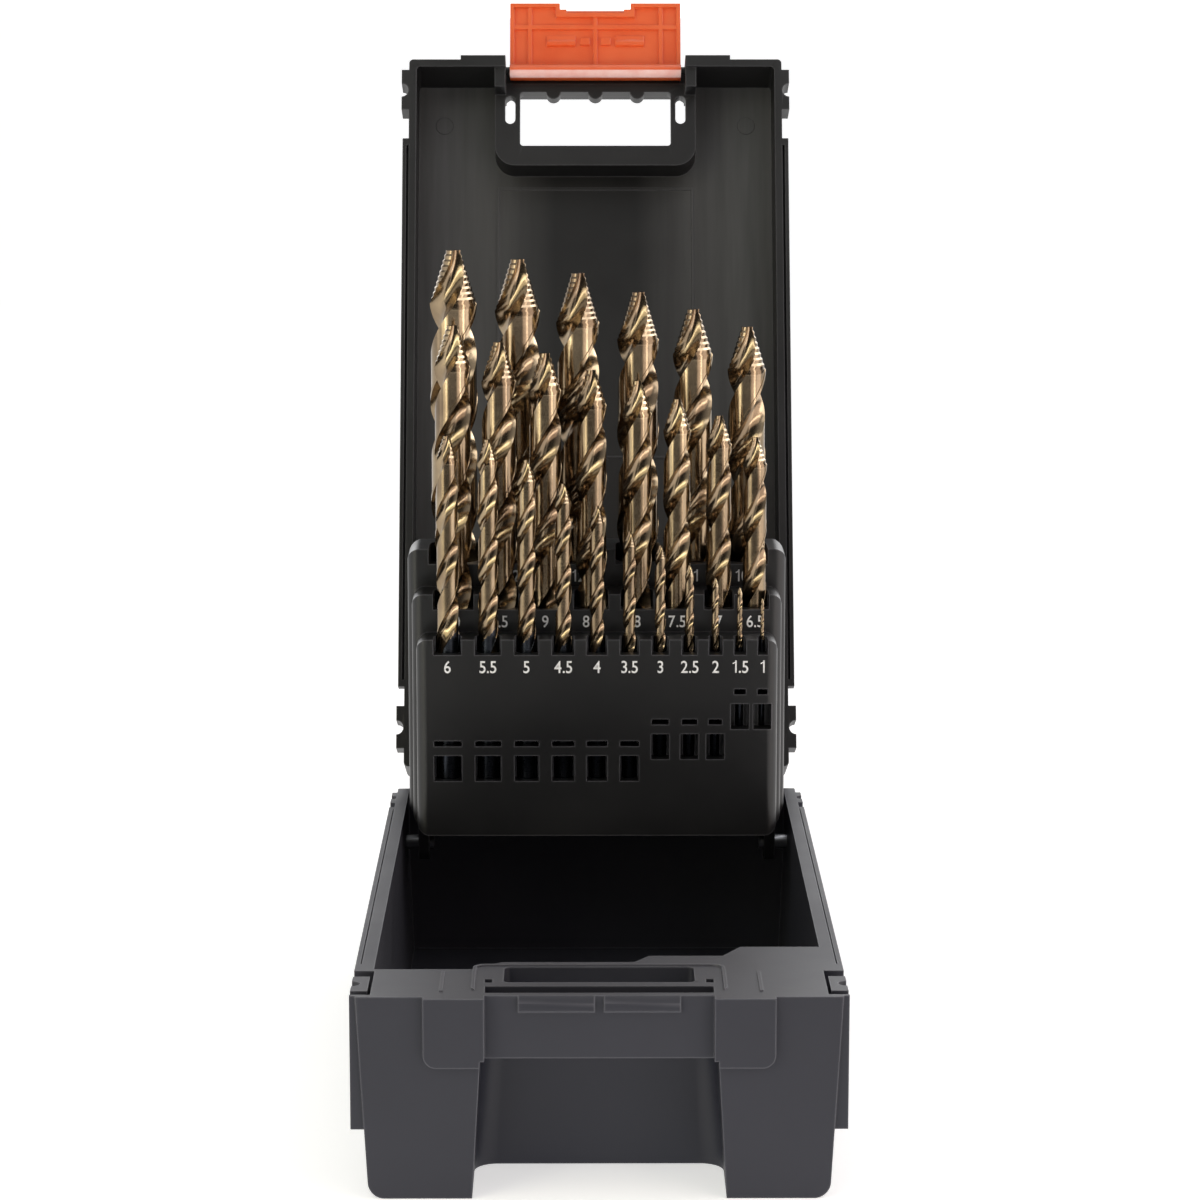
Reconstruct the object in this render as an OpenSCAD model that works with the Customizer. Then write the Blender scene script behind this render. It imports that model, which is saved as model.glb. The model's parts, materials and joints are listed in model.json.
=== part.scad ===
// Drill bit case, shown open: a base tray, a lid that leans back on its hinge,
// a three-step rack that stands up inside, an orange latch and 25 twist drills.
// Millimetres, +Z up. The origin is on the ground, under the middle of the base,
// and the front of the case faces -Y.

/* [Case] */
// Width over the side rails
case_w = 115.2; // [114:0.2:120]
// Length from the front face to the rear wall
case_l = 212; // [210:1:224]
// Height of the base up to its rim
base_h = 48.4; // [48:0.4:56]
// Depth of the lid from its rim to its top
lid_h = 22; // [20:0.5:26]
// Thickness of the moulded walls
wall = 2.2; // [1.8:0.1:2.4]
// How far the side rails stand out from the walls
rail_out = 1.4; // [1.2:0.1:2]
// How far the lid's front face stands behind that of the base
lid_in = 1.8; // [1.6:0.1:2]
// Gap between two pieces that move past each other
clearance = 0.3; // [0.2:0.05:0.4]

/* [Opening] */
// How far the lid turns from closed to open
lid_turn = 111; // [100:1:115]
// How far the latch turns from closed to open
latch_turn = 90; // [80:1:95]

/* [Hinge] */
// Distance of the hinge axis behind the rear wall
hinge_back = 3.8; // [3.8:0.1:6]
// Height of the hinge axis above the rim
hinge_up = 1.5; // [1:0.5:2]
// Outer radius of the hinge knuckles
knuckle_r = 3.4; // [3:0.1:3.8]
// Radius of the hinge pins
hinge_pin_r = 1.4; // [1:0.1:1.8]
// Width of one hinge knuckle
knuckle_w = 9; // [7:0.5:11]
// Distance of each hinge from the side of the case
hinge_in = 24.6; // [22:0.2:29]

/* [Latch] */
// Width of the latch
latch_w = 50.6; // [44:0.2:52]
// Length of the latch from its pin to its free edge
latch_l = 22.1; // [21.6:0.1:22.6]
// Thickness of the latch plate
latch_t = 1.8; // [1.4:0.1:2.2]
// Radius of the pin that the latch turns on
latch_pin_r = 1.2; // [1:0.1:1.3]
// Height of the latch pin above the rim
latch_pin_up = 4.6; // [4.4:0.1:5]
// Distance of the latch pin behind the front face
latch_pin_in = 3.9; // [3.7:0.1:4.1]
// How far the two catches stand out under the rim
catch_out = 1.2; // [1:0.1:1.4]

/* [Handle] */
// Width of the hand hole through the lid and the deck
hand_w = 44.6; // [40:0.2:46]
// Distance of the hand hole behind the front face
hand_in = 12.2; // [12:0.2:13]
// Length of the hand hole, front to back
hand_l = 13; // [12:0.5:13]
// Width of the finger recess in the base front
finger_w = 55; // [54:1:57]
// Depth of the finger recess
finger_d = 25.2; // [25:0.1:25.6]
// Height of the bar above the finger recess
handle_bar_h = 15; // [14:0.2:16]

/* [Rack] */
// Gap between the rear tier and each side wall
rack_side_gap = 1; // [0.8:0.1:2]
// Each tier is narrower than the one behind it by this much
tier_inset = 3.2; // [2:0.2:3.4]
// Depth of the front, middle and rear tier
tier_d = [11, 12.5, 17.5];
// Height of the front tier above the underside of the rack
tier_h = 54.2; // [52:0.1:56]
// How much higher each tier is than the one in front
tier_step = 10.4; // [9:0.2:11]
// How far the standing rack reaches down below the rim
rack_down = 2.2; // [1:0.1:2.6]
// Gap between the rack and the rear wall
rack_gap = 4.3; // [3:0.1:5]
// Height of the rack's pivot under the rim
rack_pivot_down = 10.6; // [10:0.2:12]
// Distance of the rack's pivot in front of the rear wall's outside
rack_pivot_in = 19.6; // [18:0.2:21]
// Radius of the rack's pivot pins
rack_pin_r = 2; // [1.6:0.1:2.4]
// Radial play of a drill in its socket
socket_play = 0.35; // [0.3:0.05:0.5]

/* [Drills] */
// Helix lead as a multiple of the diameter
lead = 5.4; // [4.5:0.1:7]
// Length of the stepped point as a multiple of the diameter
point_len = 1.25; // [1:0.05:1.5]

/* [Hidden] */
// Drill sizes from left to right, with overall and flute lengths
REAR_D = [13, 12.5, 12, 11.5, 11, 10.5];
REAR_L = [151, 148.5, 144.7, 139.5, 134.8, 130];
REAR_F = [101, 101, 97, 94, 90, 87];
MID_D = [10, 9.5, 9, 8.5, 8, 7.5, 7, 6.5];
MID_L = [132, 127.5, 124.5, 120, 117, 112, 107.5, 101.5];
MID_F = [87, 83, 81, 77, 75, 71, 69, 63];
FRONT_D = [6, 5.5, 5, 4.5, 4, 3.5, 3, 2.5, 2, 1.5, 1];
FRONT_L = [93.8, 92.8, 87.3, 80.8, 74.8, 67.8, 58, 52.5, 49, 38.1, 35.1];
FRONT_F = [57, 57, 52, 47, 43, 39, 33, 30, 24, 18, 12];
// Height of each front socket's floor above the underside of the rack
FRONT_FLOOR = [15, 15, 15, 15, 15, 15, 21, 21, 21, 29.3, 29.3];
// Places across a rack that is as wide as X_FOR_W
X_FOR_W = 104;
REAR_X = [-39.1, -21.6, -5.1, 11.4, 26.4, 41.2];
MID_X = [-39, -26.5, -14, -1.5, 11, 21.8, 33.2, 43];
FRONT_X = [-40.3, -29.4, -19, -9.1, 0, 8.8, 17.1, 25, 32, 38.6, 44.7];
ROW_D = [FRONT_D, MID_D, REAR_D];
ROW_X = [FRONT_X, MID_X, REAR_X];

PIN_FIT = 0.05;
BIG = 400;
front_y = -case_l / 2;
rear_y = case_l / 2;
rim = base_h;
lid_rail_in = 1;
lid_rail_out = 1.8;
front_draft = 2.5;
side_wall = 3.2;
inner_draft = 1;
body_w = case_w - 2 * rail_out;
inner_w = body_w - 2 * side_wall;
inner_floor_w = inner_w - 2 * inner_draft;
rack_w = inner_w - 2 * rack_side_gap;
lid_w = case_w - 2 * lid_rail_in;
lid_body_w = lid_w - 2 * lid_rail_out;
foot_w = body_w - 2 * front_draft;
hinge_x = case_w / 2 - hinge_in;
foot_r = 4;
corner_r = 2.5;
lid_corner_r = 1.2;
top_r = 3;
skirt_z = 16.4;
rail_front = 26;
rail_rear = 23;
rail_l = case_l - rail_front - rail_rear;
groove_w = 1.3;
groove_h = 2.6;
panel_w = 81.2;
panel_h = 16.6;
panel_out = 1.8;
lid_panel_out = 1.3;
lid_panel_w = panel_w - 1.8;
lid_panel_h = 11;
deck_t = wall;
deck_ribs = [-36.6, 37.5];
deck_edge = [[-inner_w, 23.5], [-30, 23.5], [-23, 29.5], [8.4, 29.5], [12, 35], [29.6, 35], [34, 43], [inner_w, 43]];
slot_d = 9;
slot_in = 9.9;
latch_recess = 1.2;
finger_r = 5.5;
finger_draft = 2;
pocket_in = 2;
pocket_drop = 4;
pocket_w = 4.8;
wing_in = 1;
web_drop = 12;

hinge_y = rear_y + hinge_back;
hinge_z = rim + hinge_up;
rack_py = rear_y - rack_pivot_in;
rack_pz = rim - rack_pivot_down;
rack_z = rim - rack_down;
rack_back = rear_y - wall - rack_gap;
tier_back = [rack_back - tier_d[2] - tier_d[1], rack_back - tier_d[2], rack_back];
tier_top = [rack_z + tier_h, rack_z + tier_h + tier_step, rack_z + tier_h + 2 * tier_step];
tier_w = [rack_w - 2 * tier_inset, rack_w - tier_inset, rack_w];
rack_front = tier_back[0] - tier_d[0];
row_y = [for (i = [0:2]) tier_back[i] - tier_d[i] / 2];
socket_floor = 1.9;
deep_floor = 5.2;
rack_chamfer = 2.6;
lug_t = 3;
tier_r = 3.4;
lug_x = rack_w / 2 - 5.5;
tier_edge_r = 3;
window_h = 7;
window_min = 4.9;
window_slot_up = 9.8;
window_slot_h = 1.5;
notch_h = 4.2;
lug_r = 5;

boss_rim = 6.4;
boss_side = 7.4;
boss_w = hand_w + 2 * boss_side;
boss_l = hand_in + hand_l + boss_rim;
hand_lid_front = 3.2;
hand_lid_rear = 0.3;
hand_plate = 4.4;
slot_l = 8.5;
slot_w = 3;
slot_side = 2.9;
slot_back = 14.5;
label_w = 58.4;
label_gap = 3.6;
label_l = case_l * 0.39;
line_w = 0.7;
mark_r = 2.6;
mark_x = lid_body_w / 2 - 9.8;
mark_in = 16;
boss_r = 6;
boss_drop = 11;
latch_y = front_y + latch_pin_in;
latch_z = rim + latch_pin_up;
latch_gap_w = latch_w + 2.4;
barrel_r = latch_pin_r + PIN_FIT + 0.8;
latch_swing = latch_pin_in + panel_out + 0.4;
cheek_t = boss_w / 2 - latch_gap_w / 2;
cheek_l = 8;
catch_w = 17.6;
catch_gap = 2.2;
catch_h = 4;

// ---- small helpers ----

// Flat rectangle with round corners, centred on x, from y0 to y1
module round_rect(w, y0, y1, r) {
  translate([-w / 2, y0 + r]) square([w, y1 - y0 - 2 * r]);
  translate([-w / 2 + r, y0]) square([w - 2 * r, y1 - y0]);
  for (x = [-w / 2 + r, w / 2 - r], y = [y0 + r, y1 - r]) translate([x, y]) circle(r, $fn = 48);
}

// Extrudes a front view (x, z) from y0 back to y1
module front_view(y0, y1) {
  translate([0, y1, 0]) rotate([90, 0, 0]) linear_extrude(y1 - y0) children();
}

// Extrudes a side view (y, z) from x0 to x1
module side_view(x0, x1) {
  translate([x0, 0, 0]) rotate([90, 0, 90]) linear_extrude(x1 - x0) children();
}

// Box centred on x
module box(w, y0, y1, z0, z1) {
  translate([-w / 2, y0, z0]) cube([w, y1 - y0, z1 - z0]);
}

// Cylinder along x
module rod(r, x0, x1, y, z) {
  translate([x0, y, z]) rotate([0, 90, 0]) cylinder(r = r, h = x1 - x0, $fn = 48);
}

// Places children as they stand with the lid open
module with_lid() {
  translate([0, hinge_y, hinge_z]) rotate([-lid_turn, 0, 0]) translate([0, -hinge_y, -hinge_z]) children();
}

// Places children as they stand with the latch flipped open on the closed lid
module with_latch() {
  translate([0, latch_y, latch_z]) rotate([-latch_turn, 0, 0]) translate([0, -latch_y, -latch_z]) children();
}

function drill_x(row, i) = ROW_X[row][i] * rack_w / X_FOR_W;
function floor_up(row, i) = row == 0 ? FRONT_FLOOR[i] : deep_floor;

// ---- base ----

// Outline of the base seen from the front
module base_front_shape() {
  polygon([
    [-foot_w / 2, foot_r], [-body_w / 2, rim], [body_w / 2, rim], [foot_w / 2, foot_r],
    [foot_w / 2 - foot_r, 0], [-foot_w / 2 + foot_r, 0]
  ]);
  for (s = [-1, 1]) translate([s * (foot_w / 2 - foot_r), foot_r]) circle(foot_r, $fn = 48);
}

// Space inside the base seen from the front
module base_inside_shape() {
  polygon([
    [-inner_floor_w / 2, wall], [-inner_w / 2, rim * 0.6], [-inner_w / 2, rim + 1],
    [inner_w / 2, rim + 1], [inner_w / 2, rim * 0.6], [inner_floor_w / 2, wall]
  ]);
}

// Front edge of the space inside, which follows the points of the rear row of drills
module deck_outline() {
  polygon(concat(
    [for (p = deck_edge) [p[0], front_y + p[1]]],
    [[inner_w, rear_y - wall], [-inner_w, rear_y - wall]]
  ));
}

// Paired clip tabs at both ends of a side, with a round notch between them
module side_tabs(z0, z1, half) {
  for (s = [-1, 1]) {
    difference() {
      union() {
        translate([s > 0 ? half - 4 : -half, front_y + 5, z0]) cube([4, 12.2, z1 - z0]);
        translate([s > 0 ? half - 4 : -half, rear_y - 17.4, z0]) cube([4, 12.2, z1 - z0]);
      }
      translate([s * half, front_y + 11.2, z0 - 1]) cylinder(r = 2, h = z1 - z0 + 2, $fn = 32);
      translate([s * half, rear_y - 11.2, z0 - 1]) cylinder(r = 2, h = z1 - z0 + 2, $fn = 32);
    }
  }
}

// Side rails with the long groove along the top of each
module side_rails(w, z0, z1, groove_z, groove_top) {
  difference() {
    for (s = [-1, 1]) translate([s > 0 ? w / 2 - 4 : -w / 2, front_y + rail_front, z0])
      cube([4, rail_l, z1 - z0]);
    for (s = [-1, 1]) translate([s * (w / 2 - 1.8) - groove_w / 2, front_y + rail_front + 2, groove_z])
      cube([groove_w, rail_l - 4, groove_top - groove_z]);
  }
}

// Two ledges under the rim that the latch snaps behind
module catches() {
  y = front_y + latch_recess;
  for (s = [-1, 1]) side_view(s > 0 ? catch_gap / 2 : -catch_gap / 2 - catch_w, s > 0 ? catch_gap / 2 + catch_w : -catch_gap / 2)
    polygon([[y + 0.5, rim], [y, rim], [y - catch_out, rim - catch_out - 0.4], [y - catch_out, rim - catch_h + 0.4],
      [y, rim - catch_h], [y + 0.5, rim - catch_h]]);
}

module knuckles(offsets) {
  for (s = [-1, 1], k = offsets) rod(knuckle_r, s * hinge_x + k * knuckle_w - knuckle_w / 2 + clearance / 2,
    s * hinge_x + k * knuckle_w + knuckle_w / 2 - clearance / 2, hinge_y, hinge_z);
}

// Space for the fingers under the handle bar, which widens towards the ground
module finger_recess() {
  h = rim - handle_bar_h;
  lean = atan(finger_draft / h);
  // the round rear corners lean like the sides do
  step = finger_r / cos(lean);
  front_view(front_y - 2 * panel_out, front_y + finger_d - finger_r) polygon([
    [-finger_w / 2 - finger_draft - finger_draft / h, -1], [-finger_w / 2, h],
    [finger_w / 2, h], [finger_w / 2 + finger_draft + finger_draft / h, -1]]);
  front_view(front_y + 1, front_y + finger_d) polygon([
    [-finger_w / 2 - finger_draft - finger_draft / h + step, -1], [-finger_w / 2 + step, h],
    [finger_w / 2 - step, h], [finger_w / 2 + finger_draft + finger_draft / h - step, -1]]);
  intersection() {
    for (s = [-1, 1]) translate([s * (finger_w / 2 - step), front_y + finger_d - finger_r, h]) rotate([0, -s * lean, 0])
      translate([0, 0, -h - finger_r]) cylinder(r = finger_r, h = h + 2 * finger_r, $fn = 48);
    box(BIG, front_y, front_y + finger_d, -1, h);
  }
}

module base() {
  color("#2e2e32") difference() {
    union() {
      difference() {
        union() {
          intersection() {
            front_view(front_y, rear_y) base_front_shape();
            linear_extrude(rim) round_rect(case_w, front_y, rear_y, corner_r);
          }
          // ends of the side rails at the front face
          for (s = [-1, 1]) translate([s > 0 ? case_w / 2 - 4 : -case_w / 2, front_y + wing_in, skirt_z])
            cube([4, rail_front, rim - skirt_z]);
        }
        // lower corners that take the lid's clip tabs
        for (s = [-1, 1]) translate([s > 0 ? case_w / 2 - pocket_w : -case_w / 2 - 1, front_y + pocket_in, rim - pocket_drop])
          cube([pocket_w + 1, rail_front - 4 - pocket_in, pocket_drop + 1]);
      }
      side_rails(case_w, skirt_z, rim, rim - groove_h, rim + 1);
      side_tabs(skirt_z, rim, case_w / 2);
      // shallow raised panel on the front
      front_view(front_y - panel_out, front_y + 1) intersection() {
        translate([0, rim - panel_h]) round_rect(panel_w, 0, panel_h + 4, 3);
        translate([-BIG / 2, 0]) square([BIG, rim]);
      }
      // webs and knuckles of the hinge
      knuckles([-1, 1]);
      for (s = [-1, 1], k = [-1, 1])
        side_view(s * hinge_x + k * knuckle_w - knuckle_w / 2 + clearance / 2,
          s * hinge_x + k * knuckle_w + knuckle_w / 2 - clearance / 2)
          polygon([[rear_y - 1, rim - web_drop], [rear_y, rim - web_drop], [hinge_y + knuckle_r * 0.7, hinge_z - knuckle_r * 0.7],
            [hinge_y, hinge_z], [rear_y - 1, rim - 1]]);
    }
    // room for the rack and the drills
    intersection() {
      front_view(front_y, rear_y) base_inside_shape();
      linear_extrude(rim + 2) deck_outline();
    }
    // hollow undersides of the two front blocks
    for (s = [-1, 1]) translate([s > 0 ? finger_w / 2 + wall : -foot_w / 2 + wall, front_y + wall, -1])
      cube([foot_w / 2 - finger_w / 2 - 2 * wall, deck_edge[0][1] - 2 * wall, rim - deck_t + 1]);
    // finger recess under the handle bar
    finger_recess();
    // face behind the latch
    box(latch_gap_w, front_y - 3, front_y + latch_recess, rim - handle_bar_h - 1, rim + 1);
    // hand hole and the slot in front of it
    linear_extrude(rim + 1) round_rect(hand_w, front_y + hand_in, front_y + hand_in + hand_l, 1.5);
    box(latch_gap_w, front_y + latch_recess + wall, front_y + slot_in - 1, rim - slot_d, rim + 1);
    // small square holes beside the hand hole
    for (s = [-1, 1]) translate([s * (hand_w / 2 + 3.5) - 0.9, front_y + 12, rim - 6]) cube([1.8, 3, 7]);
    // holes for the pins
    rod(hinge_pin_r + PIN_FIT, -hinge_x - 1.5 * knuckle_w + 1, -hinge_x + 1.5 * knuckle_w + 1, hinge_y, hinge_z);
    rod(hinge_pin_r + PIN_FIT, hinge_x - 1.5 * knuckle_w - 1, hinge_x + 1.5 * knuckle_w - 1, hinge_y, hinge_z);
    rod(rack_pin_r + PIN_FIT, -inner_w / 2 - 1.7, inner_w / 2 + 1.7, rack_py, rack_pz);
  }
  color("#2e2e32") {
    catches();
    // thin ribs across the deck
    for (x = deck_ribs) translate([x - 0.4, front_y + lid_in + wall + 0.4, rim - 0.1]) cube([0.8, deck_edge[0][1] - 7, 0.4]);
    // raised line around the hand hole, where the lid's frame comes down
    translate([0, 0, rim - 0.1]) linear_extrude(0.5) difference() {
      round_rect(boss_w, front_y + lid_in + wall + 0.4, front_y + finger_d + 1.6, 3);
      round_rect(boss_w - 1.6, front_y - 3, front_y + finger_d + 0.8, 2.2);
    }
    // scalloped bar between the slot and the hand hole
    for (x = [-hand_w / 3, 0, hand_w / 3]) translate([x, front_y + slot_in + 0.2, rim - 4]) cylinder(r = 0.9, h = 4, $fn = 32);
  }
}

// ---- lid ----

// Cross-section of the lid across its width, with rounded top edges
module lid_section(w, h, r) {
  translate([0, rim]) {
    translate([-w / 2, 0]) square([w, h - r]);
    translate([-w / 2 + r, 0]) square([w - 2 * r, h]);
    for (s = [-1, 1]) translate([s * (w / 2 - r), h - r]) circle(r, $fn = 48);
  }
}

module lid_closed() {
  top = rim + lid_h;
  front = front_y + lid_in;
  plate = top - wall - boss_drop;
  difference() {
    union() {
      difference() {
        union() {
          intersection() {
            front_view(front, rear_y) lid_section(lid_body_w, lid_h, top_r);
            linear_extrude(BIG) round_rect(lid_body_w, front, rear_y, lid_corner_r);
          }
          box(lid_panel_w, front - lid_panel_out, front + 1, rim, rim + lid_panel_h);
        }
        difference() {
          translate([0, 0, rim - 1]) linear_extrude(lid_h - wall + 1)
            round_rect(lid_body_w - 2 * wall, front + wall, rear_y - wall, lid_corner_r);
          // frame around the hand hole
          translate([0, 0, plate]) linear_extrude(BIG) round_rect(boss_w, front_y - 10, front_y + boss_l, boss_r);
        }
        // grip hollow over the hand hole, on the outside of the lid
        translate([0, 0, plate + hand_plate]) linear_extrude(BIG)
          round_rect(boss_w - 2 * wall, front + wall + 3, front_y + boss_l - wall, boss_r - wall);
      }
      side_rails(lid_w, rim, rim + 4.2, rim - 1, rim + groove_h);
      side_tabs(rim, rim + 9, lid_w / 2 + 0.4);
      // cheeks that hold the latch pin
      for (s = [-1, 1]) translate([s > 0 ? latch_gap_w / 2 : -latch_gap_w / 2 - cheek_t, front, rim + 1])
        cube([cheek_t, cheek_l, lid_h - wall - 1]);
      // arms and knuckles of the hinge
      knuckles([0]);
      for (s = [-1, 1]) side_view(s * hinge_x - knuckle_w / 2 + clearance / 2, s * hinge_x + knuckle_w / 2 - clearance / 2)
        polygon([[rear_y - 1, rim + 0.4], [hinge_y, hinge_z - 1.2], [hinge_y, hinge_z + knuckle_r], [rear_y - 1, hinge_z + knuckle_r + 3]]);
    }
    // opening in the front wall for the latch
    box(latch_gap_w, front_y - 5, latch_y + barrel_r + 0.4, rim - 1, latch_z + latch_swing + 0.5);
    // hand hole and the two slots beside it
    linear_extrude(BIG) round_rect(hand_w, front_y + hand_in - hand_lid_front, front_y + hand_in + hand_l + hand_lid_rear, 1);
    for (s = [-1, 1]) translate([s * (hand_w / 2 + slot_side), front_y + slot_back, 0])
      linear_extrude(BIG) round_rect(slot_w, -slot_l / 2, slot_l / 2, slot_w / 2 - 0.01);
    // holes for the pins
    rod(hinge_pin_r + PIN_FIT, -BIG / 2, BIG / 2, hinge_y, hinge_z);
    rod(latch_pin_r + PIN_FIT, -latch_gap_w / 2 - 2.5, latch_gap_w / 2 + 2.5, latch_y, latch_z);
  }
  // three half-round bumps in the front edge of the hand hole
  for (x = [-hand_w / 3.6, 0, hand_w / 3.6]) translate([x, front_y + hand_in - hand_lid_front, plate]) cylinder(r = 2.1, h = hand_plate, $fn = 48);
  // round ejector marks on the inside of the lid
  for (x = [-mark_x, mark_x], y = [mark_in, case_l / 2, case_l - mark_in]) translate([x, front_y + y, top - wall - 0.15])
    cylinder(r = mark_r, h = 0.3, $fn = 48);
  // raised line around the label field on the inside of the lid
  label_y = front_y + boss_l + label_gap;
  difference() {
    box(label_w, label_y, label_y + label_l, top - wall - 0.3, top - wall + 0.2);
    box(label_w - 2 * line_w, label_y + line_w, label_y + label_l - line_w, top - wall - 1, top - wall + 1);
  }
}

module lid() {
  color("#262628") with_lid() lid_closed();
}

// ---- rack ----

// Front view of one tier, with rounded corners above and below
module tier_shape(w, top) {
  round_rect(w, rack_z, top, tier_r);
}

// One socket: a round bore with a notch that opens it through the front of the tier
module socket(row, i) {
  d = ROW_D[row][i];
  r = d / 2 + socket_play;
  top = tier_top[row];
  z = rack_z + floor_up(row, i);
  notch_w = row == 0 ? d * 0.96 + 1.75 : d + 1;
  window_w = max(notch_w, window_min);
  translate([drill_x(row, i), row_y[row], 0]) {
    translate([0, 0, z]) cylinder(r = r, h = top - z + 1, $fn = 48);
    translate([-notch_w / 2, -tier_d[row] / 2 - 1, top - notch_h]) cube([notch_w, tier_d[row] / 2 + 1, notch_h + 2]);
    if (row == 0) {
      // window at the foot of the drill and a narrow slot above it
      translate([-window_w / 2, -tier_d[0] / 2 - 1, z + 0.2]) cube([window_w, tier_d[0] / 2 + 1, window_h]);
      translate([-notch_w / 2, -tier_d[0] / 2 - 1, z + window_slot_up]) cube([notch_w, tier_d[0] / 2 + 1, window_slot_h]);
    }
  }
}

// Hollow underside of a tier: the space around the sockets' tubes
module tier_hollow(row) {
  difference() {
    translate([-tier_w[row] / 2 + wall, tier_back[row] - tier_d[row] + (row == 0 ? wall : 0.8), rack_z - 1])
      cube([tier_w[row] - 2 * wall, tier_d[row] - (row == 0 ? wall + 0.8 : row == 1 ? 1.6 : 0.8 + wall), tier_top[row] - rack_z - wall + 1]);
    for (i = [0:len(ROW_D[row]) - 1]) {
      d = ROW_D[row][i];
      z = rack_z + floor_up(row, i) - socket_floor;
      tube = d + 2 * socket_play + 2.4;
      translate([drill_x(row, i) - tube / 2, row_y[row] - BIG / 2, z]) cube([tube, BIG, BIG]);
    }
    for (s = [-1, 1]) translate([s > 0 ? lug_x - 1 : -BIG, -BIG / 2, 0]) cube([BIG, BIG, BIG]);
  }
}

module rack() {
  color("#232326") difference() {
    union() {
      for (i = [0:2]) intersection() {
        front_view(tier_back[i] - tier_d[i], tier_back[i]) tier_shape(tier_w[i], tier_top[i]);
        // round edges in front
        translate([0, 0, -BIG / 2]) linear_extrude(BIG) round_rect(tier_w[i], tier_back[i] - tier_d[i], tier_back[i] + 2 * tier_edge_r, tier_edge_r);
      }
      // ears that hang the rack on its pivot pins
      for (s = [-1, 1]) side_view(s > 0 ? lug_x : -lug_x - lug_t, s > 0 ? lug_x + lug_t : -lug_x) {
        translate([rack_py, rack_pz]) circle(lug_r, $fn = 48);
        translate([rack_py - lug_r, rack_pz]) square([2 * lug_r, rack_z - rack_pz + tier_r]);
      }
    }
    for (row = [0:2], i = [0:len(ROW_D[row]) - 1]) socket(row, i);
    for (row = [0:2]) tier_hollow(row);
    // bevelled rear corners that pass between the lid's walls
    for (s = [-1, 1]) translate([s * rack_w / 2, rack_back, rack_z - BIG / 2]) rotate(45)
      translate([-rack_chamfer / sqrt(2), -rack_chamfer / sqrt(2), 0]) cube([sqrt(2) * rack_chamfer, sqrt(2) * rack_chamfer, BIG]);
    rod(rack_pin_r + PIN_FIT, -BIG / 2, BIG / 2, rack_py, rack_pz);
  }
}

// ---- latch ----

module latch_closed() {
  outer = front_y - panel_out - 0.4;
  tip = latch_z - latch_l;
  rim_t = 1.2;
  notch_w = 21;
  notch_d = 1.9;
  inside = outer + latch_t;
  roll_z = rim - catch_h - 0.3;
  difference() {
    union() {
      // plate with a raised rim along its free edge and both sides
      difference() {
        union() {
          box(latch_w, outer, inside, tip, latch_z + 1);
          box(latch_w, outer, inside + 1.4, tip, tip + rim_t);
          box(notch_w + 2 * rim_t, outer, inside + 1.4, tip, tip + notch_d + 2.4);
        }
        box(notch_w, outer - 1, inside + 3, tip - 1, tip + notch_d);
        box(notch_w - 4, inside, inside + 3, tip - 1, tip + notch_d + 1);
      }
      for (s = [-1, 1]) translate([s > 0 ? latch_w / 2 - rim_t : -latch_w / 2, outer + 0.5, tip])
        cube([rim_t, latch_t + 0.9, latch_l - barrel_r]);
      // ribs
      for (x = [-19.4, 19.4]) translate([x - 0.6, inside - 0.5, tip]) cube([1.2, 1.4, latch_l - barrel_r]);
      translate([-0.6, inside - 0.5, tip + notch_d + 1]) cube([1.2, 1.4, latch_l - barrel_r - notch_d - 1]);
      box(latch_w - 1, inside - 0.5, inside + 0.9, tip + 6.6, tip + 8);
      // barrel that turns on the latch pin, and the web that carries it
      rod(barrel_r, -latch_w / 2, latch_w / 2, latch_y, latch_z);
      side_view(-latch_w / 2, latch_w / 2) polygon([[outer, latch_z + 1], [outer, latch_z - 1.7],
        [latch_y, latch_z - barrel_r + 0.1], [latch_y, latch_z + barrel_r - 0.4]]);
      // snap rolls that go under the catches
      for (s = [-1, 1]) {
        rod(1.1, s > 0 ? 5.9 : -14.4, s > 0 ? 14.4 : -5.9, outer + 1.9, roll_z - 1.1);
        translate([s > 0 ? 5.9 : -14.4, outer + 1, roll_z - 3.3]) cube([8.5, 1.5, 2.6]);
        translate([s > 0 ? 1.6 : -4.5, outer + 1, roll_z - 2.6]) cube([2.9, 1.7, 2.2]);
      }
    }
    rod(latch_pin_r + PIN_FIT, -BIG / 2, BIG / 2, latch_y, latch_z);
  }
}

module latch() {
  color("#f4622c") with_lid() with_latch() latch_closed();
}

// ---- pins ----

module latch_pin() {
  color("#202022") with_lid() rod(latch_pin_r, -latch_gap_w / 2 - 2.4, latch_gap_w / 2 + 2.4, latch_y, latch_z);
}

module hinge_pin(s) {
  color("#8c8f94") rod(hinge_pin_r, s * hinge_x - 1.5 * knuckle_w + 1.2, s * hinge_x + 1.5 * knuckle_w - 1.2, hinge_y, hinge_z);
}
module hinge_pin_left() { hinge_pin(-1); }
module hinge_pin_right() { hinge_pin(1); }

module rack_pin(s) {
  x0 = lug_x - 1.2;
  x1 = inner_w / 2 + 1.6;
  color("#8c8f94") rod(rack_pin_r, s > 0 ? x0 : -x1, s > 0 ? x1 : -x0, rack_py, rack_pz);
}
module rack_pin_left() { rack_pin(-1); }
module rack_pin_right() { rack_pin(1); }

// ---- drills ----

// Cross-section of a two-flute drill: two lands joined by the web
module flute_shape(r) {
  land = [for (a = [-38, 0, 38]) [r * cos(a), r * sin(a)]];
  half = concat(land, [[0, 0.4 * r]]);
  polygon(concat(half, [for (p = half) -p]));
}

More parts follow.
